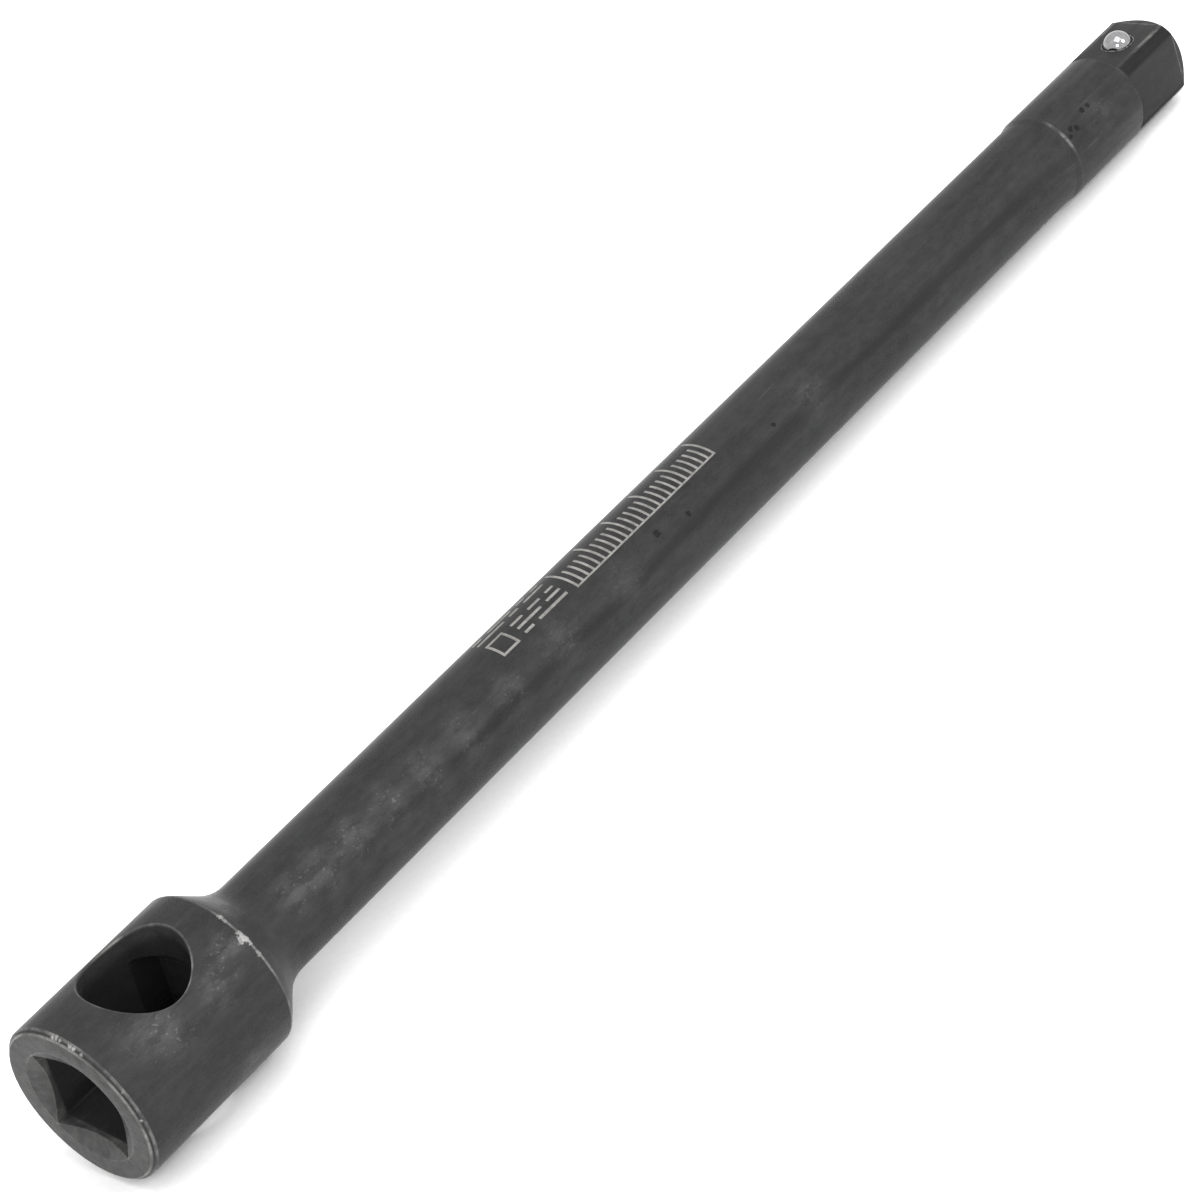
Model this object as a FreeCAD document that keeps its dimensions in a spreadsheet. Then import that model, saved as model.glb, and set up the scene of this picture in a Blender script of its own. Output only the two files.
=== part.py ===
import FreeCAD, Part
import Sketcher
import math
import os

# One-piece forged square-drive bar with a cross hole in its socket head.
# X runs along the bar from the socket face to the drive tip, Z is the detent ball's axis.

doc = FreeCAD.newDocument("drive_bar")
dims = doc.addObject("Spreadsheet::Sheet", "dims")

# alias, value in millimetres (angles in degrees), meaning
TABLE = [
    ("bar_length", 400.0, "overall length, socket face to drive tip"),
    ("head_radius", 19.2, "socket head, outside"),
    ("face_chamfer", 1.0, "chamfer on the socket face rim"),
    ("head_length", 41.35, "socket face to the head's rear corner"),
    ("neck_end", 50.47, "socket face to where the neck's cone would meet the shank"),
    ("neck_round", 12.0, "concave sweep where the neck's cone meets the shank"),
    ("shank_radius", 11.55, "shank, outside"),
    ("step_start", 346.3, "start of the short cone up to the drive end"),
    ("step_end", 348.3, "end of the short cone"),
    ("end_radius", 12.0, "thicker drive end, outside"),
    ("shoulder_x", 376.7, "shoulder of the male square"),
    ("tip_start", 397.7, "start of the tip cone"),
    ("tip_radius", 9.05, "flat tip, radius"),
    ("male_flats", 18.9, "male square across flats"),
    ("stock_clear", 30.0, "radius that clears the stock round the male square"),
    ("female_flats", 19.4, "female square across flats"),
    ("female_corner", 0.6, "broach corner radius"),
    ("female_depth", 35.5, "female square depth"),
    ("sink_radius", 13.8, "countersink mouth radius"),
    ("sink_depth", 6.43, "countersink apex depth, 25 degrees from the face"),
    ("cross_radius", 11.36, "cross hole, wall radius"),
    ("cross_x", 22.24, "cross hole axis from the socket face"),
    ("cross_cut", 60.0, "length of the cut that makes the cross hole"),
    ("cross_pilot", 21.2, "length of the cross hole's middle run, across the socket"),
    ("twist", 9.9, "turn of the socket square against the drive square"),
    ("rear_round", 1.8, "rounding of the head's rear corner"),
    ("rim_round", 0.4, "rounding of the cross hole's rims"),
    ("inner_round", 0.5, "rounding where the cross hole meets the socket's flats"),
    ("mouth_round", 0.3, "rounding of the socket face's edges"),
    ("step_round", 0.8, "rounding of the short cone's ends"),
    ("drive_round", 0.35, "rounding of the male square's edges"),
    ("ball_x", 388.3, "detent axis from the socket face"),
    ("ball_radius", 3.75, "detent ball"),
    ("ball_z", 8.75, "ball centre above the bar's axis, ball out"),
    ("well_radius", 3.8, "ball well, wall radius"),
    ("well_floor", 7.05, "ball well floor below the bar's axis"),
    ("lip_start", 9.05, "height where the staked lip starts"),
    ("lip_radius", 3.70, "staked lip's opening"),
    ("wire_radius", 0.45, "spring wire"),
    ("coil_radius", 2.75, "spring coil, mean"),
    ("coil_pitch", 1.9, "spring pitch, ball out"),
    ("spring_foot", 7.03, "spring's ground foot below the bar's axis"),
    ("spring_top", 5.74, "spring's ground top above the bar's axis"),
    ("coil_run", 16.2, "height of the helix before its ends are ground"),
    ("coil_start", 8.75, "helix start below the bar's axis"),
]
value = {}
for row, (alias, number, meaning) in enumerate(TABLE, start=1):
    dims.set("A%d" % row, meaning)
    dims.set("B%d" % row, repr(number))
    dims.setAlias("B%d" % row, alias)
    value[alias] = number
doc.recompute()


def body_named(name):
    """A new body whose label is its node's name."""
    body = doc.addObject("PartDesign::Body", name)
    body.Label = name
    return body


def plane_of(body, role):
    """One of the body's own origin planes."""
    for item in body.Origin.OriginFeatures:
        if item.Role == role:
            return item
    raise RuntimeError("no origin plane " + role)


def sketch_on(body, role, name, shift=(0.0, 0.0, 0.0), turn_axis=(0.0, 0.0, 1.0), turn=0.0):
    """A sketch on an origin plane, moved and turned within that plane's own axes."""
    sketch = body.newObject("Sketcher::SketchObject", name)
    sketch.AttachmentSupport = [(plane_of(body, role), "")]
    sketch.MapMode = "FlatFace"
    turned = FreeCAD.Rotation(FreeCAD.Vector(*turn_axis), turn)
    sketch.AttachmentOffset = FreeCAD.Placement(FreeCAD.Vector(*shift), turned)
    return sketch


def line(sketch, start, end, construction=False):
    """A straight edge; returns its number."""
    a = FreeCAD.Vector(start[0], start[1], 0)
    b = FreeCAD.Vector(end[0], end[1], 0)
    return sketch.addGeometry(Part.LineSegment(a, b), construction)


def hold(sketch, kind, geo, point, amount, name, formula):
    """Fix one coordinate of a point from the sketch's origin, driven by the sheet."""
    number = sketch.addConstraint(Sketcher.Constraint(kind, -1, 1, geo, point, amount))
    sketch.renameConstraint(number, name)
    sketch.setExpression(".Constraints." + name, formula)


PROFILE = (
    ("face_rim", "0", "dims.head_radius - dims.face_chamfer"),
    ("chamfer_end", "dims.face_chamfer", "dims.head_radius"),
    ("head_rear", "dims.head_length", "dims.head_radius"),
    ("neck_foot", "dims.neck_end", "dims.shank_radius"),
    ("cone_foot", "dims.step_start", "dims.shank_radius"),
    ("cone_top", "dims.step_end", "dims.end_radius"),
    ("tip_edge", "dims.tip_start", "dims.end_radius"),
    ("tip_flat", "dims.bar_length", "dims.tip_radius"),
)
START = {
    "face_rim": (0.0, value["head_radius"] - value["face_chamfer"]),
    "chamfer_end": (value["face_chamfer"], value["head_radius"]),
    "head_rear": (value["head_length"], value["head_radius"]),
    "neck_foot": (value["neck_end"], value["shank_radius"]),
    "cone_foot": (value["step_start"], value["shank_radius"]),
    "cone_top": (value["step_end"], value["end_radius"]),
    "tip_edge": (value["tip_start"], value["end_radius"]),
    "tip_flat": (value["bar_length"], value["tip_radius"]),
}


# ---------------------------------------------------------------- forged bar
bar = body_named("forged_bar")
turned = sketch_on(bar, "XZ_Plane", "turned_profile")
names = [item[0] for item in PROFILE]
first = line(turned, (0, 0), START["face_rim"])
edges = [first]
for a, b in zip(names[:-1], names[1:]):
    edges.append(line(turned, START[a], START[b]))
last = line(turned, START["tip_flat"], (value["bar_length"], 0))
closing = line(turned, (value["bar_length"], 0), (0, 0))
edges.append(last)
edges.append(closing)
for a, b in zip(edges, edges[1:] + edges[:1]):
    turned.addConstraint(Sketcher.Constraint("Coincident", a, 2, b, 1))
turned.addConstraint(Sketcher.Constraint("Coincident", first, 1, -1, 1))
for geo, (name, across, up) in zip(edges, PROFILE):
    x, y = START[name]
    if across == "0":
        turned.addConstraint(Sketcher.Constraint("PointOnObject", geo, 2, -2))
    else:
        hold(turned, "DistanceX", geo, 2, x, name + "_x", across)
    hold(turned, "DistanceY", geo, 2, y, name + "_y", up)
turned.addConstraint(Sketcher.Constraint("PointOnObject", last, 2, -1))
turned.addConstraint(Sketcher.Constraint("Vertical", last))
doc.recompute()

turning = bar.newObject("PartDesign::Revolution", "turned_bar")
turning.Profile = turned
turning.ReferenceAxis = (turned, ["H_Axis"])
turning.Angle = 360.0
doc.recompute()
turned_volume = turning.Shape.Volume


def closed_square(sketch, half):
    """Four sides centred on the sketch's origin; returns their numbers."""
    corners = [(-half, -half), (half, -half), (half, half), (-half, half)]
    sides = []
    for a, b in zip(corners, corners[1:] + corners[:1]):
        sides.append(line(sketch, a, b))
    for a, b in zip(sides, sides[1:] + sides[:1]):
        sketch.addConstraint(Sketcher.Constraint("Coincident", a, 2, b, 1))
    for number in (0, 2):
        sketch.addConstraint(Sketcher.Constraint("Horizontal", sides[number]))
    for number in (1, 3):
        sketch.addConstraint(Sketcher.Constraint("Vertical", sides[number]))
    sketch.addConstraint(Sketcher.Constraint("Symmetric", sides[0], 1, sides[2], 1, -1, 1))
    return sides


def across_flats(sketch, sides, size, formula):
    """Drive both widths of a square from the sheet."""
    for label, a, b, kind in (("wide", 0, 0, "DistanceX"), ("tall", 1, 1, "DistanceY")):
        item = Sketcher.Constraint(kind, sides[a], 1, sides[b], 2, size)
        number = sketch.addConstraint(item)
        sketch.renameConstraint(number, label)
        sketch.setExpression(".Constraints." + label, formula)


# The stock outside the male square is milled away back to the shoulder.
male = sketch_on(bar, "YZ_Plane", "male_square", shift=(0.0, 0.0, value["bar_length"]))
male.setExpression("AttachmentOffset.Base.z", "dims.bar_length")
outer = male.addGeometry(
    Part.Circle(FreeCAD.Vector(0, 0, 0), FreeCAD.Vector(0, 0, 1), value["stock_clear"]), False
)
male.addConstraint(Sketcher.Constraint("Coincident", outer, 3, -1, 1))
number = male.addConstraint(Sketcher.Constraint("Radius", outer, value["stock_clear"]))
male.renameConstraint(number, "clear")
male.setExpression(".Constraints.clear", "dims.stock_clear")
sides = closed_square(male, value["male_flats"] / 2)
across_flats(male, sides, value["male_flats"], "dims.male_flats")
doc.recompute()
milling = bar.newObject("PartDesign::Pocket", "milled_square")
milling.Profile = male
milling.Type = "Length"
milling.Length = value["bar_length"] - value["shoulder_x"]
milling.setExpression("Length", "dims.bar_length - dims.shoulder_x")
doc.recompute()
milled_volume = milling.Shape.Volume
assert 800 < turned_volume - milled_volume < 6000, "the male square was not cut"

# The socket square and the cross hole share one turn about the bar's axis.
female = sketch_on(bar, "YZ_Plane", "female_square", turn=value["twist"])
female.setExpression("AttachmentOffset.Rotation.Angle", "dims.twist")
sides = closed_square(female, value["female_flats"] / 2)
across_flats(female, sides, value["female_flats"], "dims.female_flats")
doc.recompute()
broach = bar.newObject("PartDesign::Pocket", "broached_square")
broach.Profile = female
broach.Type = "Length"
broach.Length = value["female_depth"]
broach.setExpression("Length", "dims.female_depth")
broach.Reversed = True
doc.recompute()
broached_volume = broach.Shape.Volume
wanted = value["female_flats"] ** 2 * value["female_depth"]
assert abs(milled_volume - broached_volume - wanted) < 0.01 * wanted, "the socket was not cut"


def long_edges_at(shape, radius, low, high):
    """Names of the straight edges parallel to X whose distance from the axis is radius."""
    found = []
    for number, edge in enumerate(shape.Edges, start=1):
        box = edge.BoundBox
        middle = edge.valueAt((edge.FirstParameter + edge.LastParameter) / 2)
        along = box.XLength > 0.9 * (high - low)
        apart = math.hypot(middle.y, middle.z)
        if along and box.XMin > low - 0.1 and box.XMax < high + 0.1 and abs(apart - radius) < 0.05:
            found.append("Edge%d" % number)
    return found


corner_reach = value["female_flats"] / math.sqrt(2)
corner_edges = long_edges_at(broach.Shape, corner_reach, 0.0, value["female_depth"])
assert len(corner_edges) == 4, "expected four broach corners"
corner = bar.newObject("PartDesign::Fillet", "broach_corners")
corner.Base = (broach, corner_edges)
corner.Radius = value["female_corner"]
corner.setExpression("Radius", "dims.female_corner")
doc.recompute()

# Countersink that leaves four scalloped edges on the socket's flats.
mouth = sketch_on(bar, "XZ_Plane", "countersink_profile")
s1 = line(mouth, (0, 0), (0, value["sink_radius"]))
s2 = line(mouth, (0, value["sink_radius"]), (value["sink_depth"], 0))
s3 = line(mouth, (value["sink_depth"], 0), (0, 0))
for a, b in ((s1, s2), (s2, s3), (s3, s1)):
    mouth.addConstraint(Sketcher.Constraint("Coincident", a, 2, b, 1))
mouth.addConstraint(Sketcher.Constraint("Coincident", s1, 1, -1, 1))
mouth.addConstraint(Sketcher.Constraint("Vertical", s1))
mouth.addConstraint(Sketcher.Constraint("Horizontal", s3))
hold(mouth, "DistanceY", s1, 2, value["sink_radius"], "mouth_radius", "dims.sink_radius")
hold(mouth, "DistanceX", s2, 2, value["sink_depth"], "apex_depth", "dims.sink_depth")
doc.recompute()
sink = bar.newObject("PartDesign::Groove", "countersink")
sink.Profile = mouth
sink.ReferenceAxis = (mouth, ["H_Axis"])
sink.Angle = 360.0
doc.recompute()
assert 50 < corner.Shape.Volume - sink.Shape.Volume < 1500, "the countersink was not cut"

# Round hole right through the head, square to two of the socket's flats.
cross = sketch_on(bar, "XY_Plane", "cross_hole_circle", turn_axis=(1.0, 0.0, 0.0), turn=value["twist"])
cross.setExpression("AttachmentOffset.Rotation.Angle", "dims.twist")
ring = cross.addGeometry(
    Part.Circle(FreeCAD.Vector(value["cross_x"], 0, 0), FreeCAD.Vector(0, 0, 1), value["cross_radius"]),
    False,
)
cross.addConstraint(Sketcher.Constraint("PointOnObject", ring, 3, -1))
hold(cross, "DistanceX", ring, 3, value["cross_x"], "centre_x", "dims.cross_x")
number = cross.addConstraint(Sketcher.Constraint("Radius", ring, value["cross_radius"]))
cross.renameConstraint(number, "wall")
cross.setExpression(".Constraints.wall", "dims.cross_radius")
doc.recompute()

def drilled(name, alias):
    """A cut of the cross hole's circle, as long on both sides of the bar's axis."""
    cut = bar.newObject("PartDesign::Pocket", name)
    cut.Profile = cross
    cut.Type = "Length"
    cut.Midplane = True
    cut.Length = value[alias]
    cut.setExpression("Length", "dims." + alias)
    cut.Refine = False
    doc.recompute()
    return cut


# The run across the socket and the two walls stay separate faces, so each wall can be measured alone.
pilot = drilled("cross_hole_middle", "cross_pilot")
drill = drilled("cross_hole", "cross_cut")
assert pilot.Shape.Volume < sink.Shape.Volume - 50, "the middle run was not cut"
assert 3000 < sink.Shape.Volume - drill.Shape.Volume < 9000, "the cross hole was not cut"


def across(point):
    """Distance of a point from the plane through the bar's axis and the cross hole's axis."""
    angle = math.radians(value["twist"])
    return point.y * math.cos(angle) + point.z * math.sin(angle)


def along(point):
    """How far a point stands from the bar's axis in the cross hole's direction."""
    angle = math.radians(value["twist"])
    return point.z * math.cos(angle) - point.y * math.sin(angle)


def reach(point):
    """Distance of a point from the bar's axis."""
    return math.hypot(point.y, point.z)


def near(a, b):
    return abs(a - b) < 0.02


def in_bore(point):
    """On the cross hole's wall."""
    return near(math.hypot(point.x - value["cross_x"], across(point)), value["cross_radius"])


def on_flat(point):
    """On one of the socket's four flats."""
    return near(max(abs(across(point)), abs(along(point))), value["female_flats"] / 2)


def cross_rim(point):
    return in_bore(point) and near(reach(point), value["head_radius"])


def rear_rim(point):
    return near(point.x, value["head_length"]) and near(reach(point), value["head_radius"])


def neck_rim(point):
    return near(point.x, value["neck_end"]) and near(reach(point), value["shank_radius"])


def bore_on_flats(point):
    return in_bore(point) and on_flat(point)


def scallop(point):
    return on_flat(point) and 0.1 < point.x < value["sink_depth"] / 2


def face_rims(point):
    """The three circles on the socket face: its outer chamfer's two ends and the countersink's mouth."""
    inner = near(point.x, 0) and near(reach(point), value["sink_radius"])
    middle = near(point.x, 0) and near(reach(point), value["head_radius"] - value["face_chamfer"])
    outer = near(point.x, value["face_chamfer"]) and near(reach(point), value["head_radius"])
    return inner or middle or outer


def step_rims(point):
    low = near(point.x, value["step_start"]) and near(reach(point), value["shank_radius"])
    high = near(point.x, value["step_end"]) and near(reach(point), value["end_radius"])
    return low or high


def drive_rims(point):
    """The male square's long edges, its shoulder's arcs and the edges of its tip."""
    if point.x < value["shoulder_x"] - 0.01:
        return False
    turned_edge = near(reach(point), value["end_radius"])
    flat = near(max(abs(point.y), abs(point.z)), value["male_flats"] / 2)
    tip_edge = flat and point.x > value["tip_start"] - 0.01
    tip_ring = near(point.x, value["bar_length"]) and near(reach(point), value["tip_radius"])
    return turned_edge or tip_edge or tip_ring


def round_edges(base, name, alias, test, least):
    """Round every edge whose points all pass the test; the radius comes from the sheet."""
    found = []
    for number, edge in enumerate(base.Shape.Edges, start=1):
        if all(test(point) for point in edge.discretize(9)):
            found.append("Edge%d" % number)
    assert len(found) >= least, name + " found only " + str(found)
    feature = bar.newObject("PartDesign::Fillet", name)
    feature.Base = (base, found)
    feature.Radius = value[alias]
    feature.setExpression("Radius", "dims." + alias)
    feature.Refine = False
    doc.recompute()
    assert feature.Shape.isValid() and abs(feature.Shape.Volume - base.Shape.Volume) > 0.001, name
    return feature


rounded = round_edges(drill, "neck_sweep", "neck_round", neck_rim, 1)
rounded = round_edges(rounded, "rear_corner", "rear_round", rear_rim, 1)
rounded = round_edges(rounded, "cross_hole_rims", "rim_round", cross_rim, 2)
rounded = round_edges(rounded, "bore_and_flats", "inner_round", bore_on_flats, 10)
rounded = round_edges(rounded, "socket_scallops", "mouth_round", scallop, 4)
rounded = round_edges(rounded, "face_edges", "mouth_round", face_rims, 3)
rounded = round_edges(rounded, "step_edges", "step_round", step_rims, 2)
rounded = round_edges(rounded, "drive_edges", "drive_round", drive_rims, 16)

# Blind well for the spring and the ball, its mouth staked a little smaller than the ball.
well = sketch_on(bar, "XZ_Plane", "ball_well_profile")
bx = value["ball_x"]
top = value["end_radius"] + 1.0
corners = [
    ("w_floor_axis", (bx, -value["well_floor"])),
    ("w_floor_wall", (bx + value["well_radius"], -value["well_floor"])),
    ("w_lip_start", (bx + value["well_radius"], value["lip_start"])),
    ("w_lip_end", (bx + value["lip_radius"], value["male_flats"] / 2)),
    ("w_top", (bx + value["lip_radius"], top)),
    ("w_top_axis", (bx, top)),
]
formulas = {
    "w_floor_axis": ("dims.ball_x", "dims.well_floor"),
    "w_floor_wall": ("dims.ball_x + dims.well_radius", "dims.well_floor"),
    "w_lip_start": ("dims.ball_x + dims.well_radius", "dims.lip_start"),
    "w_lip_end": ("dims.ball_x + dims.lip_radius", "dims.male_flats / 2"),
    "w_top": ("dims.ball_x + dims.lip_radius", "dims.end_radius + 1"),
    "w_top_axis": ("dims.ball_x", "dims.end_radius + 1"),
}
spine = line(well, (bx, -value["well_floor"]), (bx, top), True)
walls = []
for (_, a), (_, b) in zip(corners, corners[1:] + corners[:1]):
    walls.append(line(well, a, b))
for a, b in zip(walls, walls[1:] + walls[:1]):
    well.addConstraint(Sketcher.Constraint("Coincident", a, 2, b, 1))
for geo, (name, (x, y)) in zip(walls, corners):
    fx, fy = formulas[name]
    number = well.addConstraint(Sketcher.Constraint("DistanceX", -1, 1, geo, 1, x))
    well.renameConstraint(number, name + "_x")
    well.setExpression(".Constraints." + name + "_x", fx)
    if y < 0:
        number = well.addConstraint(Sketcher.Constraint("DistanceY", geo, 1, -1, 1, -y))
    else:
        number = well.addConstraint(Sketcher.Constraint("DistanceY", -1, 1, geo, 1, y))
    well.renameConstraint(number, name + "_y")
    well.setExpression(".Constraints." + name + "_y", fy)
well.addConstraint(Sketcher.Constraint("Coincident", spine, 1, walls[0], 1))
well.addConstraint(Sketcher.Constraint("Coincident", spine, 2, walls[5], 1))
doc.recompute()
bored = bar.newObject("PartDesign::Groove", "ball_well")
bored.Profile = well
bored.ReferenceAxis = (well, ["Axis0"])
bored.Angle = 360.0
bored.Refine = False
doc.recompute()
assert 600 < rounded.Shape.Volume - bored.Shape.Volume < 900, "the ball well was not cut"
bar.Tip = bored

# ---------------------------------------------------------------- detent ball
ball = body_named("detent_ball")
half_disc = sketch_on(ball, "XZ_Plane", "ball_profile")
r = value["ball_radius"]
bz = value["ball_z"]
disc = Part.Circle(FreeCAD.Vector(bx, bz, 0), FreeCAD.Vector(0, 0, 1), r)
arc = half_disc.addGeometry(Part.ArcOfCircle(disc, -math.pi / 2, math.pi / 2), False)
side = line(half_disc, (bx, bz + r), (bx, bz - r))
half_disc.addConstraint(Sketcher.Constraint("Coincident", arc, 2, side, 1))
half_disc.addConstraint(Sketcher.Constraint("Coincident", side, 2, arc, 1))
half_disc.addConstraint(Sketcher.Constraint("Vertical", side))
half_disc.addConstraint(Sketcher.Constraint("PointOnObject", arc, 3, side))
hold(half_disc, "DistanceX", arc, 3, bx, "centre_x", "dims.ball_x")
hold(half_disc, "DistanceY", arc, 3, bz, "centre_z", "dims.ball_z")
number = half_disc.addConstraint(Sketcher.Constraint("Radius", arc, r))
half_disc.renameConstraint(number, "ball")
half_disc.setExpression(".Constraints.ball", "dims.ball_radius")
spine = line(half_disc, (bx, bz - r), (bx, bz + r), True)
half_disc.addConstraint(Sketcher.Constraint("Coincident", spine, 1, arc, 1))
half_disc.addConstraint(Sketcher.Constraint("Coincident", spine, 2, arc, 2))
doc.recompute()
spin = ball.newObject("PartDesign::Revolution", "ball_turned")
spin.Profile = half_disc
spin.ReferenceAxis = (half_disc, ["Axis0"])
spin.Angle = 360.0
doc.recompute()
ball.Tip = spin

# ---------------------------------------------------------------- detent spring
# A round wire swept up a helix, with both ends ground flat by a cylinder's two faces.
helix = doc.addObject("Part::Helix", "coil_path")
helix.setExpression("Pitch", "dims.coil_pitch")
helix.setExpression("Height", "dims.coil_run")
helix.setExpression("Radius", "dims.coil_radius")
helix.setExpression("Placement.Base.x", "dims.ball_x")
helix.setExpression("Placement.Base.z", "-dims.coil_start")
section = doc.addObject("Part::Circle", "wire_circle")
section.setExpression("Radius", "dims.wire_radius")
section.Placement.Rotation = FreeCAD.Rotation(FreeCAD.Vector(1, 0, 0), 90.0)
section.setExpression("Placement.Base.x", "dims.ball_x + dims.coil_radius")
section.setExpression("Placement.Base.z", "-dims.coil_start")
doc.recompute()
coils = doc.addObject("Part::Sweep", "coils")
coils.Sections = [section]
coils.Spine = (helix, [])
coils.Solid = True
coils.Frenet = True
doc.recompute()
stock = doc.addObject("Part::Cylinder", "ground_length")
stock.Radius = 6.0
stock.setExpression("Height", "dims.spring_foot + dims.spring_top")
stock.setExpression("Placement.Base.x", "dims.ball_x")
stock.setExpression("Placement.Base.z", "-dims.spring_foot")
spring = doc.addObject("Part::Common", "detent_spring")
spring.Label = "detent_spring"
spring.Base = coils
spring.Tool = stock
doc.recompute()
assert spring.Shape.Volume < coils.Shape.Volume - 2.0, "the spring's ends were not ground"

for item in doc.Objects:
    assert "Invalid" not in item.State and "Error" not in item.State, item.Name
for item in (bar, ball, spring):
    shape = item.Shape
    assert not shape.isNull() and shape.isValid(), item.Label
    assert len(shape.Solids) == 1, item.Label + " is not one solid"

os.makedirs("parts", exist_ok=True)
for item in (bar, ball, spring):
    item.Shape.exportStep("parts/" + item.Label + ".step")
    box = item.Shape.optimalBoundingBox()
    size = (box.XLength, box.YLength, box.ZLength)
    print(item.Label, "volume", round(item.Shape.Volume, 1), "size", [round(v, 2) for v in size])
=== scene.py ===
import math

import bpy
from mathutils import Matrix, Vector


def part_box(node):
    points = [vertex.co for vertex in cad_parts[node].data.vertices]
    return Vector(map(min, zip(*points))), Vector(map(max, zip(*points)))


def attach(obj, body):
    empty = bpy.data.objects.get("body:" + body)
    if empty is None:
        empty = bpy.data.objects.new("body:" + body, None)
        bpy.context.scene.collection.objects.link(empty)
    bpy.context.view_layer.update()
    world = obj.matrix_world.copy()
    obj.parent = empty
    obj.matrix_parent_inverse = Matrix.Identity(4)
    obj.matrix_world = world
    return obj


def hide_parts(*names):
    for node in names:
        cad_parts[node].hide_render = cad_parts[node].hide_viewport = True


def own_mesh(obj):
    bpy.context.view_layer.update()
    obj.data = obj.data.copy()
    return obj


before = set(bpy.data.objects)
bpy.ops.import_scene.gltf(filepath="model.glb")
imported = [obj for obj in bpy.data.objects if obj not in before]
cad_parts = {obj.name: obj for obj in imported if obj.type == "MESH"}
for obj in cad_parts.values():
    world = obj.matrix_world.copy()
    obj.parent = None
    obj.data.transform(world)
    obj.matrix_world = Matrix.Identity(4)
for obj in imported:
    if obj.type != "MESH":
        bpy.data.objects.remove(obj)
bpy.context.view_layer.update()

MM = 0.001

# The bar's sizes in mm. X is its axis and runs from the socket face to the drive's tip.
bar_low, bar_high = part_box("forged_bar")
BAR_LENGTH = (bar_high.x - bar_low.x) / MM
HEAD_RADIUS = bar_high.z / MM
RIM_RADIUS = 18.3  # the flat of the socket face ends here, in a rounded rim
HEAD_END = 40.7  # the head's cylinder ends here
REAR_CORNER = 41.35  # the middle of the head's rounded rear corner
STEP_END = 348.3  # the shank has stepped up to the drive end's radius here
DRIVE_RADIUS = 12.0
SHOULDER = 376.7  # the male square starts here
FLAT_HEIGHT = 9.45  # from the axis to a flat of the male square
TIP_BEVEL = 397.9  # the bevel round the tip starts here
CROSS_HOLE_X = 22.24
CROSS_HOLE_EDGE = 11.6  # the radius of the hole's rounded edge
SINK_RADIUS = 13.8  # the mouth of the socket's countersink
SINK_SLOPE = math.tan(math.radians(25))
SOCKET_HALF = 9.7  # from the axis to a wall of the female square
SOCKET_TWIST = math.radians(9.9)

# The detent's places, in metres.
ball_low, ball_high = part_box("detent_ball")
ball_centre = (ball_low + ball_high) / 2

# A painted dark reflection, a stripe along the shank: from and to in mm, its middle and half width in
# degrees.
STRIPE_START, STRIPE_END = 66, 332
STRIPE_BEARING, STRIPE_HALF_WIDTH = 70, 12

# Each row of the next three tables is one mark: x, angle from +Z towards -Y, radius there, size, all
# in mm and degrees, and in the first two also its strength.
# Bright nicks down to the steel.
NICKS = [
    # the rim of the socket face
    (0.7, 7, 18.8, 0.55, 0.8), (0.8, 10, 18.8, 0.55, 0.7), (0.7, 13, 18.8, 0.45, 0.6),
    (0.7, 21, 18.8, 0.6, 0.8), (0.7, 24, 18.8, 0.6, 0.9), (0.6, 30, 18.8, 0.45, 0.5),
    (0.8, 63, 18.8, 0.4, 0.4), (0.7, 84, 18.8, 0.45, 0.5),
    (0.8, 300, 18.8, 1.1, 0.8), (0.8, 190, 18.8, 1.2, 0.8),
    # the head's rear corner
    (41.2, 44, 18.9, 0.7, 0.6), (41.2, 47, 18.9, 0.95, 0.9), (41.4, 50, 18.9, 1.0, 1.0),
    (41.5, 53, 18.9, 0.8, 0.7), (41.5, 29, 18.9, 0.8, 0.7), (41.3, 33, 18.9, 0.7, 0.5),
    (41.2, 61, 18.9, 0.8, 0.5), (40.4, 48, 19.2, 1.0, 0.5),
    (41.3, 140, 18.9, 1.1, 0.8), (41.4, 205, 18.9, 1.2, 0.8), (41.3, 300, 18.9, 1.0, 0.8),
    # the shank
    (140.0, 150, 11.5, 0.9, 0.3), (310.0, 180, 11.5, 0.9, 0.3),
]
# Soft pale rubs where the coating is worn thin; along the shank they are also a painted highlight streak.
RUBS_AND_HIGHLIGHT = [
    # the head and its neck
    (38.0, 44, 19.2, 5.0, 0.14), (34.0, 50, 19.2, 7.0, 0.12), (28.5, 60, 19.2, 6.0, 0.13),
    (13.0, 47, 19.2, 10.0, 0.12), (17.0, 60, 19.2, 8.0, 0.08), (45.5, 15, 15.5, 7.0, 0.13),
    (30.0, 118, 19.2, 8.0, 0.1), (20.0, 255, 19.2, 9.0, 0.1),
    # along the shank, where a hand holds it, and also a painted highlight streak that fades away from the
    # head
    (60.0, 50, 11.5, 7.0, 0.14), (68.0, 52, 11.5, 8.0, 0.14), (78.0, 53, 11.5, 8.0, 0.14),
    (89.0, 54, 11.5, 8.0, 0.13), (101.0, 55, 11.5, 8.0, 0.12), (114.0, 57, 11.5, 8.0, 0.11),
    (128.0, 59, 11.5, 8.0, 0.1), (146.0, 60, 11.5, 9.0, 0.09), (168.0, 61, 11.5, 9.0, 0.08),
    (240.0, 58, 11.5, 9.0, 0.07), (80.0, 190, 11.5, 9.0, 0.1), (205.0, 230, 11.5, 9.0, 0.1),
    (300.0, 150, 11.5, 9.0, 0.1), (100.0, 310, 11.5, 9.0, 0.08),
    # the drive end
    (362.0, 60, 12.0, 8.0, 0.07), (352.0, 250, 12.0, 7.0, 0.1),
]
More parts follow.
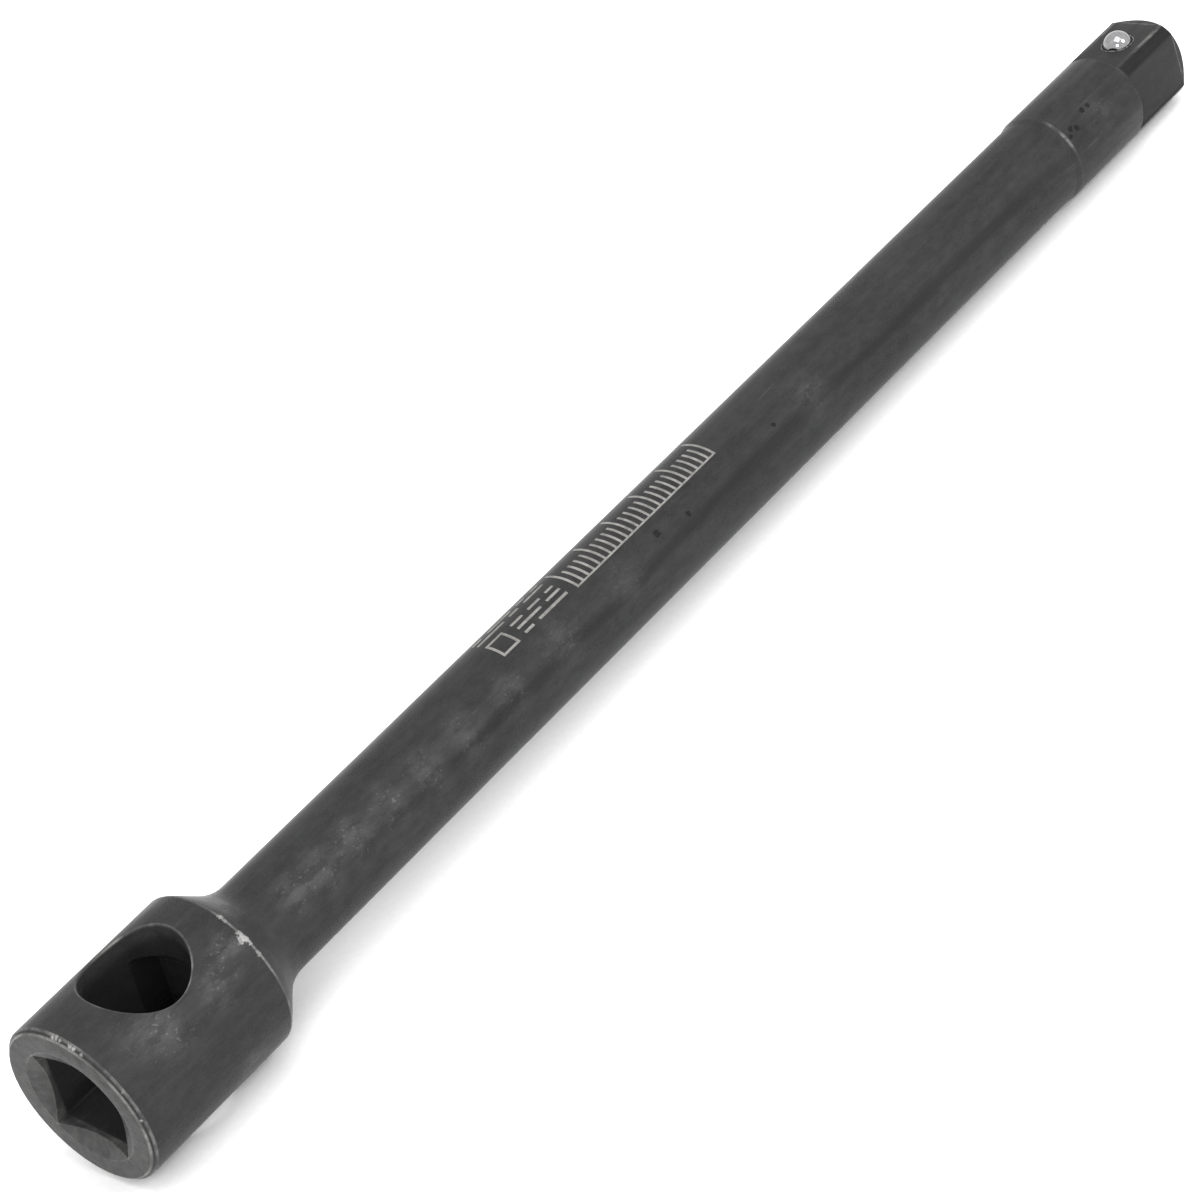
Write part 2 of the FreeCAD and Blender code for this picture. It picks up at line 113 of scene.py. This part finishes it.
# Dark dents.
DENTS = [
    # the drive end
    (351.5, 50, 12.0, 1.0), (353.2, 53, 12.0, 0.9), (349.8, 56, 12.0, 0.7), (358.5, 43, 12.0, 0.9),
    (361.0, 44, 12.0, 0.7), (355.0, 170, 12.0, 0.9),
    # the shank
    (226.0, 52, 11.55, 0.7), (183.0, 47, 11.55, 1.0), (192.5, 56, 11.55, 0.7), (120.0, 200, 11.55, 1.0),
]


# ---------------------------------------------------------------- small helpers
def only(*objects):
    """Select just these objects; the last one is active."""
    bpy.ops.object.select_all(action="DESELECT")
    for piece in objects:
        piece.select_set(True)
    bpy.context.view_layer.objects.active = objects[-1]


def named(piece, name):
    """Give a piece and its mesh one name."""
    piece.name = name
    piece.data.name = name
    return piece


def merged_copy(node, name):
    """A copy of a CAD node's mesh with its loose triangles joined into one skin."""
    only(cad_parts[node])
    bpy.ops.object.duplicate()
    copy = named(bpy.context.object, name)
    copy.parent = None
    copy.matrix_world = Matrix.Identity(4)
    for key in list(copy.keys()):
        if key.startswith("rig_"):
            del copy[key]
    only(copy)
    if copy.data.has_custom_normals:
        bpy.ops.mesh.customdata_custom_splitnormals_clear()
    bpy.ops.object.mode_set(mode="EDIT")
    bpy.ops.mesh.select_all(action="SELECT")
    bpy.ops.mesh.remove_doubles(threshold=0.001 * MM)
    bpy.ops.object.mode_set(mode="OBJECT")
    copy.data.materials.clear()
    return copy


def round_place(x, degrees, radius):
    """A point on the bar in metres, from mm and an angle from +Z towards -Y."""
    angle = math.radians(degrees)
    return (x * MM, -radius * MM * math.sin(angle), radius * MM * math.cos(angle))


# ---------------------------------------------------------------- how a material is worked out
SHADER_SOCKETS = {
    "colour": "Base Color", "metallic": "Metallic", "roughness": "Roughness",
    "specular": "Specular IOR Level", "normal": "Normal",
}


class Recipe:
    """One material and its arithmetic, on the piece's own object coordinates in metres."""

    def __init__(self, name):
        self.material = bpy.data.materials.new(name)
        self.material.use_nodes = True
        self.nodes = self.material.node_tree.nodes
        self.links = self.material.node_tree.links
        self.nodes.clear()
        output = self.nodes.new("ShaderNodeOutputMaterial")
        self.shader = self.nodes.new("ShaderNodeBsdfPrincipled")
        self.links.new(self.shader.outputs["BSDF"], output.inputs["Surface"])
        self.place = self.nodes.new("ShaderNodeTexCoord").outputs["Object"]

    def dress(self, **finish):
        """Give the shader its finish and return the material; a plain value goes on the socket itself."""
        for name, value in finish.items():
            self.feed(self.shader.inputs[SHADER_SOCKETS[name]], value)
        return self.material

    def feed(self, socket, value):
        if isinstance(value, (int, float, tuple)):
            socket.default_value = value
        else:
            self.links.new(value, socket)

    def calc(self, operation, *values, clamp=False):
        node = self.nodes.new("ShaderNodeMath")
        node.operation = operation
        node.use_clamp = clamp
        for socket, value in zip(node.inputs, values):
            self.feed(socket, value)
        return node.outputs["Value"]

    def fold(self, operation, masks):
        """One operation over a row of masks, from the first to the last."""
        result = masks[0]
        for mask in masks[1:]:
            result = self.calc(operation, result, mask)
        return result

    def times(self, *masks):
        """Masks over one another, or a value scaled."""
        return self.fold("MULTIPLY", masks)

    def total(self, *masks):
        return self.fold("ADD", masks)

    def most(self, *masks):
        """The strongest of the masks."""
        return self.fold("MAXIMUM", masks)

    def less(self, value, amount):
        return self.calc("SUBTRACT", value, amount)

    def distance(self, first, second):
        """How far a point is from where both values are zero."""
        return self.calc("SQRT", self.total(self.times(first, first), self.times(second, second)))

    def widest(self, first, second):
        """The larger of two values, whatever their signs."""
        return self.most(self.calc("ABSOLUTE", first), self.calc("ABSOLUTE", second))

    def fade(self, value, start, end, low=0.0, high=1.0):
        """Goes softly from low at start to high at end."""
        node = self.nodes.new("ShaderNodeMapRange")
        node.interpolation_type = "SMOOTHSTEP"
        self.feed(node.inputs["Value"], value)
        for name, number in (("From Min", start), ("From Max", end), ("To Min", low), ("To Max", high)):
            node.inputs[name].default_value = number
        return node.outputs["Result"]

    def spread(self, noise, low=0.0, high=1.0):
        """A noise stretched from low to high."""
        return self.fade(noise, 0.3, 0.7, low, high)

    def near(self, value, centre, width):
        """1 at centre, falling to 0 at width on either side."""
        gap = self.calc("ABSOLUTE", self.less(value, centre))
        return self.fade(gap, width, width * 0.35)

    def between(self, value, low, high, soft):
        """1 from low to high, with a soft step at each end."""
        past_low = self.fade(value, low - soft, low + soft)
        return self.times(past_low, self.fade(value, high + soft, high - soft))

    def noise(self, scale, stretch=(1, 1, 1), detail=3.0, rough=0.55, shift=(0, 0, 0)):
        """Noise of about 0.25 to 0.75; scale counts its cells in a metre."""
        move = self.nodes.new("ShaderNodeMapping")
        self.links.new(self.place, move.inputs["Vector"])
        move.inputs["Scale"].default_value = stretch
        move.inputs["Location"].default_value = shift
        node = self.nodes.new("ShaderNodeTexNoise")
        self.links.new(move.outputs["Vector"], node.inputs["Vector"])
        node.inputs["Scale"].default_value = scale
        node.inputs["Detail"].default_value = detail
        node.inputs["Roughness"].default_value = rough
        return node.outputs["Fac"]

    def away_from(self, centre):
        """The distance in metres from a point."""
        gap = self.nodes.new("ShaderNodeVectorMath")
        gap.operation = "DISTANCE"
        self.links.new(self.place, gap.inputs[0])
        gap.inputs[1].default_value = centre
        return gap.outputs["Value"]

    def spot(self, centre, radius, ragged):
        """A patch around a point, its outline broken up by a noise."""
        wobble = self.times(self.less(ragged, 0.5), radius * 3.0)
        return self.fade(self.total(self.away_from(centre), wobble), radius, radius * 0.45)

    def rub(self, centre, radius):
        """A patch around a point that fades out softly."""
        return self.fade(self.away_from(centre), radius, 0.0)

    def blend(self, share, first, second):
        """A colour between two others; a colour Mix has its share in input 0 and its colours in 6 and 7."""
        node = self.nodes.new("ShaderNodeMix")
        node.data_type = "RGBA"
        self.feed(node.inputs[0], share)
        self.feed(node.inputs[6], first)
        self.feed(node.inputs[7], second)
        return node.outputs[2]

    def bump(self, height, strength, depth, before=None):
        """Relief of a depth in mm, laid over the relief before it."""
        node = self.nodes.new("ShaderNodeBump")
        node.inputs["Strength"].default_value = strength
        node.inputs["Distance"].default_value = depth * MM
        self.links.new(height, node.inputs["Height"])
        if before is not None:
            self.links.new(before, node.inputs["Normal"])
        return node.outputs["Normal"]


class BarRecipe(Recipe):
    """A recipe that knows the bar's own surfaces. Its places and distances are in mm."""

    def __init__(self, name):
        super().__init__(name)
        split = self.nodes.new("ShaderNodeSeparateXYZ")
        self.links.new(self.place, split.inputs["Vector"])
        self.x, self.y, self.z = (self.times(split.outputs[axis], 1 / MM) for axis in "XYZ")
        self.reach = self.distance(self.y, self.z)

        # Across and along the female square, which is turned about the axis with the cross hole.
        cosine, sine = math.cos(SOCKET_TWIST), math.sin(SOCKET_TWIST)
        across = self.total(self.times(self.y, cosine), self.times(self.z, sine))
        along = self.less(self.times(self.z, cosine), self.times(self.y, sine))
        self.beside_hole = self.less(self.x, CROSS_HOLE_X)
        self.from_hole = self.distance(self.beside_hole, across)
        self.from_socket = self.widest(across, along)
        self.from_square = self.widest(self.y, self.z)
        self.on_face = self.fade(self.x, 0.5, 0.15)
        self.past_shoulder = self.fade(self.x, SHOULDER + 0.2, SHOULDER + 0.8)

        self.clouds = self.noise(95, stretch=(0.3, 1, 1), detail=4.0, rough=0.6)
        self.blotches = self.noise(420, stretch=(0.55, 1, 1), detail=4.0, rough=0.65, shift=(3, 1, 2))
        self.grain = self.noise(3600, detail=2.0, rough=0.6)
        self.streaks = self.noise(900, stretch=(0.05, 1, 1), rough=0.6, shift=(5, 2, 0))
        self.waver = self.noise(170, stretch=(0.09, 1, 1), detail=2.0, rough=0.5, shift=(0, 4, 1))
        self.chips = self.noise(2300, stretch=(0.7, 1, 1), detail=4.0, rough=0.75, shift=(7, 1, 6))


# ---------------------------------------------------------------- the bar's coating, feature by feature
def worn_edges(m):
    """Every sharp edge of the forging, each with how far it is rubbed."""
    head_side = m.fade(m.reach, RIM_RADIUS, RIM_RADIUS + 0.6)
    # 1 where the round sides face between +Z and -Y, at 46 degrees from +Z.
    facing = math.radians(46)
    facing = m.less(m.times(m.z, math.cos(facing)), m.times(m.y, math.sin(facing)))
    facing = m.fade(facing, DRIVE_RADIUS - 1.6, DRIVE_RADIUS - 0.3, 0.12, 1)
    return m.total(
        # the rim of the socket face, on the face and on the side
        m.times(m.fade(m.x, 1.4, 0.7), m.near(m.reach, RIM_RADIUS, 0.32), 0.42),
        m.times(m.near(m.x, 1.0, 0.4), head_side, 0.34),
        # the countersink's mouth, and the female square where it meets the countersink
        m.times(m.on_face, m.near(m.reach, SINK_RADIUS - 0.05, 0.25), 0.16),
        m.times(m.near(m.from_socket, SOCKET_HALF, 0.22), m.fade(m.x, 3.2, 2.6), 0.22),
        # the cross hole, most of all on the side away from the face
        m.times(
            m.near(m.from_hole, CROSS_HOLE_EDGE, 0.34), head_side,
            m.fade(m.beside_hole, -4, 6, 0.35, 1), 0.42,
        ),
        # the head's rear corner, and the step in the shank
        m.times(m.near(m.x, REAR_CORNER, 0.45), m.fade(m.reach, 18.2, 18.6), 0.42),
        m.times(
            m.near(m.x, STEP_END, 0.7),
            m.fade(m.reach, DRIVE_RADIUS - 0.2, DRIVE_RADIUS - 0.05), facing, 0.34,
        ),
        # the shoulder behind the male square
        m.times(
            m.near(m.x, SHOULDER, 0.45), m.fade(m.reach, DRIVE_RADIUS - 0.8, DRIVE_RADIUS - 0.3),
            m.fade(m.z, 4, 1, 0.12, 1), 0.4,
        ),
        # the upper flat's long edges, more towards the tip
        m.times(
            m.fade(m.x, SHOULDER + 4, SHOULDER + 16, 0.15, 1), m.fade(m.x, SHOULDER, SHOULDER + 1),
            m.fade(m.reach, 11.3, 11.6), m.near(m.z, FLAT_HEIGHT - 0.03, 0.14), 0.34,
        ),
        # the bevel round the tip, where it starts and where it ends
        m.times(m.near(m.x, TIP_BEVEL, 0.35), m.fade(m.from_square, 9.0, 9.4), 0.2),
        m.times(m.near(m.x, BAR_LENGTH - 0.2, 0.4), m.fade(m.reach, 8.3, 8.9), 0.25),
    )


def bare_steel(m):
    """Where the coating is gone: patchy edges, nicks and a few hairlines."""
    patches = m.noise(130, rough=0.6, shift=(8, 3, 5))
    ragged = m.noise(700, stretch=(0.6, 1, 1), detail=4.0, rough=0.7, shift=(2, 7, 3))
    broken = m.times(m.fade(patches, 0.4, 0.6, 0.25, 1), m.fade(ragged, 0.34, 0.6, 0.45, 1))
    edges = m.calc("MULTIPLY", worn_edges(m), broken, clamp=True)
    nicks = m.most(*[
        m.times(m.spot(round_place(x, degrees, radius), size * MM, m.chips), strength)
        for x, degrees, radius, size, strength in NICKS
    ])
    scuffed = m.noise(60, detail=2.0, rough=0.5, shift=(6, 6, 1))
    hairlines = m.times(m.fade(m.streaks, 0.66, 0.72), m.fade(scuffed, 0.5, 0.62), 0.035)
    return m.calc("MAXIMUM", edges, m.most(nicks, hairlines), clamp=True)


def thin_coating_and_highlight(m):
    """The soft rubbed patches, mottled, with small flecks in them; along the shank partly a painted
    highlight.
    """
    rubs_and_highlight = m.total(*[
        m.times(m.rub(round_place(x, degrees, radius), size * MM), strength)
        for x, degrees, radius, size, strength in RUBS_AND_HIGHLIGHT
    ])
    mottle = m.noise(330, stretch=(0.5, 1, 1), detail=5.0, rough=0.65, shift=(1, 9, 4))
    specks = m.noise(1350, stretch=(0.75, 1, 1), detail=2.5, rough=0.6, shift=(3, 3, 8))
    flecks = m.times(rubs_and_highlight, m.fade(specks, 0.6, 0.7), 1.9)
    return m.total(m.times(rubs_and_highlight, m.fade(mottle, 0.38, 0.62, 0.1, 1.15)), flecks)


def painted_reflection_stripe(m):
    """A painted dark reflection: a darker stripe along the shank, beside the pale streak. Its edges waver.
    """
    bearing = m.calc("ARCTAN2", m.times(m.y, -1), m.z)
    bearing = m.total(bearing, m.spread(m.waver, -0.07, 0.07))
    off_line = m.calc("ABSOLUTE", m.less(bearing, math.radians(STRIPE_BEARING)))
    return m.times(
        m.fade(off_line, math.radians(STRIPE_HALF_WIDTH), math.radians(1)),
        m.between(m.x, STRIPE_START, STRIPE_END, 14), m.fade(m.blotches, 0.3, 0.6, 0.55, 1),
    )


def faced_end(m):
    """The turned face and its countersink, smoother and paler than the blasted sides."""
    ring = m.times(m.on_face, m.fade(m.reach, SINK_RADIUS - 0.2, SINK_RADIUS + 0.1))
    sink_depth = m.times(m.less(SINK_RADIUS, m.reach), SINK_SLOPE)
    sink = m.times(
        m.near(m.less(m.x, sink_depth), 0, 0.5), m.fade(m.from_socket, SOCKET_HALF - 0.1, SOCKET_HALF + 0.1),
        m.fade(m.reach, 9.4, 9.8), m.fade(m.reach, SINK_RADIUS + 0.1, SINK_RADIUS - 0.1),
    )
    return m.most(ring, sink)


def painted_shade_in_openings(m):
    """Painted shade on the walls inside the female square and the cross hole."""
    in_socket = m.times(m.fade(m.from_socket, SOCKET_HALF + 0.15, SOCKET_HALF - 0.05), m.fade(m.x, 37, 36))
    in_hole = m.times(m.fade(m.reach, 17.5, 14.5), m.between(m.x, 9, 36, 1))
    return m.most(in_socket, in_hole)


def painted_shade_round_ball(m):
    """Painted shade in the narrow gap round the ball."""
    from_ball = m.distance(m.less(m.x, ball_centre.x / MM), m.y)
    return m.times(m.fade(from_ball, 4.05, 3.9), m.fade(m.z, 6, 6.5), m.past_shoulder)


def black_phosphate():
    """Dark satin phosphate over steel: clouded, finely grained, and rubbed bright on its edges."""
    m = BarRecipe("black_phosphate")
    face = faced_end(m)
    wear = bare_steel(m)
    dents = m.most(*[
        m.spot(round_place(x, degrees, radius), size * MM, m.chips) for x, degrees, radius, size in DENTS
    ])
    behind_tip = m.times(m.past_shoulder, m.fade(m.x, 399, 398))
    # The round strips between the flats, darkened as a painted dark reflection.
    corner_strips_painted_dark = m.times(behind_tip, m.fade(m.reach, 11.5, 11.8))
    flats = m.times(behind_tip, m.near(m.from_square, FLAT_HEIGHT, 0.1))

    tone = m.total(
        m.spread(m.clouds, 0.27, 0.5), m.spread(m.blotches, 0, 0.32),
        m.spread(m.grain, -0.1, 0.14), m.spread(m.streaks, -0.06, 0.08),
    )
    colour = m.blend(tone, (0.0165, 0.0166, 0.017, 1), (0.0382, 0.0383, 0.0389, 1))
    for share, coat in [
        (m.times(face, m.spread(m.blotches, 0.35, 0.75)), (0.085, 0.0845, 0.083, 1)),
        # painted dark reflection: the stripe along the shank
        (m.times(painted_reflection_stripe(m), 0.42), (0.009, 0.009, 0.0095, 1)),
        # painted shade inside the female square and the cross hole
        (m.times(painted_shade_in_openings(m), 0.6), (0.006, 0.006, 0.006, 1)),
        # painted dark reflection on the round strips between the flats
        (m.times(corner_strips_painted_dark, 0.6), (0.007, 0.007, 0.007, 1)),
        # painted shade in the gap round the ball
        (painted_shade_round_ball(m), (0.003, 0.003, 0.003, 1)),
        (m.times(flats, 0.3), (0.01, 0.01, 0.01, 1)),
        # pale rubs, and along the shank a painted highlight streak
        (thin_coating_and_highlight(m), (0.19, 0.189, 0.187, 1)),
        (wear, (0.36, 0.355, 0.345, 1)),
        (m.times(dents, 0.8), (0.01, 0.01, 0.01, 1)),
    ]:
        colour = m.blend(share, colour, coat)

    # Relief: the forging's waver, blasted grain, pits, dents, and turned rings on the faced end.
    pits = m.fade(m.noise(1900, detail=2.0, rough=0.5, shift=(4, 4, 9)), 0.3, 0.24)
    turned_rings = m.calc("SINE", m.times(m.reach, 2 * math.pi / 0.35))
    relief = m.bump(m.waver, 0.35, 0.25)
    relief = m.bump(m.times(m.grain, m.fade(face, 0, 1, 1, 0.4)), 0.3, 0.03, relief)
    relief = m.bump(pits, 0.5, -0.03, relief)
    relief = m.bump(dents, 0.8, -0.2, relief)
    relief = m.bump(m.times(turned_rings, face), 0.25, 0.008, relief)
    roughness = m.total(m.spread(m.clouds, 0.27, 0.34), m.spread(m.grain, -0.04, 0.06), m.times(wear, -0.06))
    return m.dress(
        colour=colour, metallic=m.times(wear, 0.55), roughness=roughness, specular=0.045, normal=relief,
    )


# ---------------------------------------------------------------- the other finishes
def polished_ball():
    m = Recipe("polished_ball")
    haze = m.noise(900)
    handled = m.noise(2500, detail=4.0)
    return m.dress(
        colour=m.blend(m.spread(haze), (0.26, 0.26, 0.265, 1), (0.36, 0.36, 0.365, 1)),
        metallic=1.0, roughness=m.fade(handled, 0.3, 0.75, 0.05, 0.16),
    )


def staked_steel():
    """The bead of metal pushed up round the ball: bare, dull, a little smeared."""
    m = Recipe("staked_steel")
    smear = m.noise(1500, detail=4.0, rough=0.65, shift=(1, 5, 2))
    return m.dress(
        colour=m.blend(m.fade(smear, 0.35, 0.65), (0.03, 0.03, 0.03, 1), (0.22, 0.217, 0.21, 1)),
        metallic=0.7, roughness=m.spread(smear, 0.45, 0.3), normal=m.bump(smear, 0.4, 0.05),
    )


def spring_wire():
    m = Recipe("spring_wire")
    drawn = m.noise(2600, stretch=(1, 1, 0.3))
    return m.dress(
        colour=m.blend(m.spread(drawn), (0.3, 0.3, 0.31, 1), (0.5, 0.5, 0.51, 1)),
        metallic=1.0, roughness=m.spread(drawn, 0.24, 0.4),
    )


def laser_etch():
    """Pale, dry, slightly warm marks burnt through the coating."""
    m = Recipe("laser_etch")
    dots = m.noise(5200, rough=0.7)
    clouds = m.noise(380, detail=2.0, shift=(2, 2, 2))
    tone = m.total(m.spread(dots, 0, 0.55), m.spread(clouds, 0, 0.45))
    return m.dress(
        colour=m.blend(tone, (0.09, 0.087, 0.082, 1), (0.27, 0.262, 0.25, 1)),
        roughness=m.spread(dots, 0.5, 0.7), specular=0.3, normal=m.bump(dots, 0.3, 0.02),
    )


def studio_paper():
    """Smooth white paper with a faint tooth."""
    m = Recipe("studio_paper")
    tooth = m.noise(700)
    clouds = m.noise(4)
    tone = m.total(m.spread(tooth, 0, 0.5), m.spread(clouds, 0, 0.5))
    return m.dress(
        colour=m.blend(tone, (0.91, 0.91, 0.91, 1), (0.97, 0.97, 0.97, 1)),
        roughness=m.spread(tooth, 0.65, 0.8),
    )


# ---------------------------------------------------------------- the forging
FORGING_CREASE = 28  # in degrees: edges sharper than this stay sharp

forging = merged_copy("forged_bar", "bar_forging")
bpy.ops.object.shade_smooth_by_angle(angle=math.radians(FORGING_CREASE))
forging.data.materials.append(black_phosphate())
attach(forging, "bar")
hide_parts("forged_bar")

# ---------------------------------------------------------------- the detent ball
ball = merged_copy("detent_ball", "polished_detent_ball")
bpy.ops.object.shade_smooth()
ball.data.materials.append(polished_ball())
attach(ball, "ball")
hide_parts("detent_ball")

# ---------------------------------------------------------------- the bead staked round the ball's well
# Sizes in mm.
BEAD_RADIUS = 4.02
BEAD_THICKNESS = 0.3
PUNCH_BLOWS = 4
PUNCH_REACH = 0.94  # the cosine of the angle that a blow reaches to either side
PUNCH_SPREAD = 0.05
PUNCH_DEPTH = 0.07

bpy.ops.object.select_all(action="DESELECT")
bpy.ops.mesh.primitive_torus_add(
    major_radius=BEAD_RADIUS * MM, minor_radius=BEAD_THICKNESS / 2 * MM,
    major_segments=96, minor_segments=16,
    location=(ball_centre.x, ball_centre.y, FLAT_HEIGHT * MM),
)
collar = named(bpy.context.object, "staked_collar")
bpy.ops.object.transform_apply(location=True, rotation=True, scale=True)
bpy.ops.object.mode_set(mode="EDIT")
bpy.ops.mesh.select_mode(type="VERT")
# The bead is flattened in four places, where the punch struck it.
for blow in range(PUNCH_BLOWS):
    bpy.ops.mesh.select_all(action="DESELECT")
    bpy.ops.object.mode_set(mode="OBJECT")
    angle = math.radians(45) + blow * 2 * math.pi / PUNCH_BLOWS
    toward = Vector((math.cos(angle), math.sin(angle), 0))
    for vertex in collar.data.vertices:
        away = vertex.co - Vector((ball_centre.x, ball_centre.y, vertex.co.z))
        vertex.select = away.normalized().dot(toward) > PUNCH_REACH
    bpy.ops.object.mode_set(mode="EDIT")
    bpy.ops.transform.translate(value=toward * PUNCH_SPREAD * MM - Vector((0, 0, PUNCH_DEPTH * MM)))
bpy.ops.object.mode_set(mode="OBJECT")
bpy.ops.object.shade_smooth()
collar.data.materials.append(staked_steel())
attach(collar, "bar")

# ---------------------------------------------------------------- the spring under the ball
SPRING_CREASE = 40

spring = merged_copy("detent_spring", "coil_spring")
bpy.ops.object.shade_smooth_by_angle(angle=math.radians(SPRING_CREASE))
spring.data.materials.append(spring_wire())
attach(spring, "bar")
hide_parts("detent_spring")
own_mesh(spring)

# ---------------------------------------------------------------- etched size marks
# Places along the shank are in mm, and places round it in degrees from +Z towards -Y.
MARK_FOOT = 11.46  # the plates' inner radius, just inside the shank
MARK_TOP = 11.578
PLATE_STEP = 3  # each plate turns in facets of about this angle

SCALE_START = 159.5
SCALE_STEP = 2.0
SCALE_TICKS = 25
TALL_TICK_FROM = -20
SHORT_TICK_FROM = -2
TICKS_TO = 27
TICK_HALF = 0.33
BASE_LINE = 2.2

SIGN_START, SIGN_END, SIGN_WALL = 134.0, 139.6, 0.7
SIGN_LOW, SIGN_HIGH, SIGN_BAR = 0, 27, 3
DASH_HEIGHT = 3.5
DASH_ROWS = [
    (2, [(142, 146), (148, 152), (154, 156.6)]),
    (12, [(142, 150), (152, 156.6)]),
    (22, [(142, 145), (147, 156.6)]),
    (-22, [(134, 137), (139, 147), (149, 152), (154, 156.6)]),
    (-13, [(134, 143), (145, 148), (150, 156.6)]),
]


def curved_plate(start, end, low, high):
    """A thin plate on the shank, from start to end along it and from low to high round it."""
    bpy.ops.object.select_all(action="DESELECT")
    bpy.ops.mesh.primitive_plane_add(size=1, location=(0, 0, 0))
    plate = bpy.context.object
    bpy.ops.object.mode_set(mode="EDIT")
    bpy.ops.mesh.select_all(action="SELECT")
    bpy.ops.transform.resize(value=((end - start) * MM, (MARK_TOP - MARK_FOOT) * MM, 1))
    bpy.ops.transform.rotate(value=math.radians(90), orient_axis="X", center_override=(0, 0, 0))
    bpy.ops.transform.translate(value=((start + end) / 2 * MM, 0, (MARK_TOP + MARK_FOOT) / 2 * MM))
    bpy.ops.object.mode_set(mode="OBJECT")
    plate.rotation_euler = (math.radians(low), 0, 0)
    bpy.ops.object.transform_apply(location=False, rotation=True, scale=False)
    bpy.ops.object.mode_set(mode="EDIT")
    bpy.ops.mesh.select_all(action="SELECT")
    steps = max(1, round((high - low) / PLATE_STEP))
    bpy.ops.mesh.spin(steps=steps, angle=-math.radians(high - low), center=(0, 0, 0), axis=(1, 0, 0))
    bpy.ops.mesh.select_all(action="SELECT")
    bpy.ops.mesh.remove_doubles(threshold=0.0005 * MM)
    bpy.ops.mesh.normals_make_consistent(inside=False)
    bpy.ops.object.mode_set(mode="OBJECT")
    return plate


def copy_along(plate, distance):
    """A copy of a plate with its own mesh, a distance further along the shank."""
    only(plate)
    bpy.ops.object.duplicate(linked=False)
    copy = bpy.context.object
    copy.location.x += distance * MM
    bpy.ops.object.transform_apply(location=True, rotation=False, scale=False)
    return copy


# A plain scale: short ticks, each fifth one tall, on a thin base line.
tick_ends = (SCALE_START - TICK_HALF, SCALE_START + TICK_HALF)
tall_tick = curved_plate(*tick_ends, TALL_TICK_FROM, TICKS_TO)
short_tick = curved_plate(*tick_ends, SHORT_TICK_FROM, TICKS_TO)
plates = [tall_tick]
for number in range(1, SCALE_TICKS + 1):
    pattern = tall_tick if number % 5 == 0 else short_tick
    plates.append(copy_along(pattern, number * SCALE_STEP))
only(short_tick)
bpy.ops.object.delete()
base_end = SCALE_START + SCALE_TICKS * SCALE_STEP + TICK_HALF
plates.append(curved_plate(SCALE_START - TICK_HALF, base_end, TICKS_TO, TICKS_TO + BASE_LINE))

# Before the scale, an open square, which is the sign of a square drive, and rows of dashes.
wall_low, wall_high = SIGN_LOW + SIGN_BAR, SIGN_HIGH - SIGN_BAR
plates.append(curved_plate(SIGN_START, SIGN_END, SIGN_LOW, wall_low))
plates.append(curved_plate(SIGN_START, SIGN_END, wall_high, SIGN_HIGH))
plates.append(curved_plate(SIGN_START, SIGN_START + SIGN_WALL, wall_low, wall_high))
plates.append(curved_plate(SIGN_END - SIGN_WALL, SIGN_END, wall_low, wall_high))
for low, dashes in DASH_ROWS:
    for start, end in dashes:
        plates.append(curved_plate(start, end, low, low + DASH_HEIGHT))
only(*plates)
bpy.ops.object.join()
size_marks = named(bpy.context.object, "size_marks")
size_marks.data.materials.append(laser_etch())
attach(size_marks, "bar")

# ---------------------------------------------------------------- floor
FLOOR_SIZE = 6.0

# The bar lies on its head's rear corner and on the drive's shoulder, so the floor leans by that much.
lean = math.atan((HEAD_RADIUS - DRIVE_RADIUS) / (SHOULDER - HEAD_END))
head_rest = Vector((HEAD_END, 0, -HEAD_RADIUS)) * MM
bpy.ops.object.select_all(action="DESELECT")
bpy.ops.mesh.primitive_plane_add(size=FLOOR_SIZE, location=head_rest, rotation=(0, -lean, 0))
floor = named(bpy.context.object, "studio_floor")
floor.data.materials.append(studio_paper())

# ---------------------------------------------------------------- camera
# The place is in metres, the turn in degrees, the lens and the sensor in mm.
CAMERA_PLACE = (-0.28333, -0.54457, 0.43292)
CAMERA_TURN = (56.7234, 17.9229, -51.1095)
CAMERA_LENS = 114.29
SENSOR_WIDTH = 36.0

camera_data = bpy.data.cameras.new("studio_camera")
camera_data.sensor_fit = "HORIZONTAL"
camera_data.sensor_width = SENSOR_WIDTH
camera_data.lens = CAMERA_LENS
camera = bpy.data.objects.new("studio_camera", camera_data)
bpy.context.scene.collection.objects.link(camera)
camera.location = CAMERA_PLACE
camera.rotation_euler = [math.radians(degrees) for degrees in CAMERA_TURN]
bpy.context.scene.camera = camera

# ---------------------------------------------------------------- lights
# Name, place in metres, size in metres, power in watts.
SOFTBOXES = [
    ("overhead_softbox", (0.2, -0.35, 1.45), 1.1, 8.5),
    ("left_softbox", (-1.0, -0.9, 0.9), 0.6, 8),
    ("right_softbox", (0.62, -1.15, 0.92), 0.5, 8.5),
]
AIR_STRENGTH = 1.2

middle = Vector((BAR_LENGTH / 2 * MM, 0, 0))
for name, place, size, power in SOFTBOXES:
    light_data = bpy.data.lights.new(name, "AREA")
    light_data.shape = "SQUARE"
    light_data.size = size
    light_data.energy = power
    softbox = bpy.data.objects.new(name, light_data)
    bpy.context.scene.collection.objects.link(softbox)
    softbox.location = place
    softbox.rotation_euler = (middle - Vector(place)).to_track_quat("-Z", "Y").to_euler()

world = bpy.data.worlds.new("studio_air")
bpy.context.scene.world = world
world.use_nodes = True
air = world.node_tree.nodes["Background"]
air.inputs["Color"].default_value = (1, 1, 1, 1)
air.inputs["Strength"].default_value = AIR_STRENGTH
bpy.context.scene.view_settings.view_transform = "Standard"
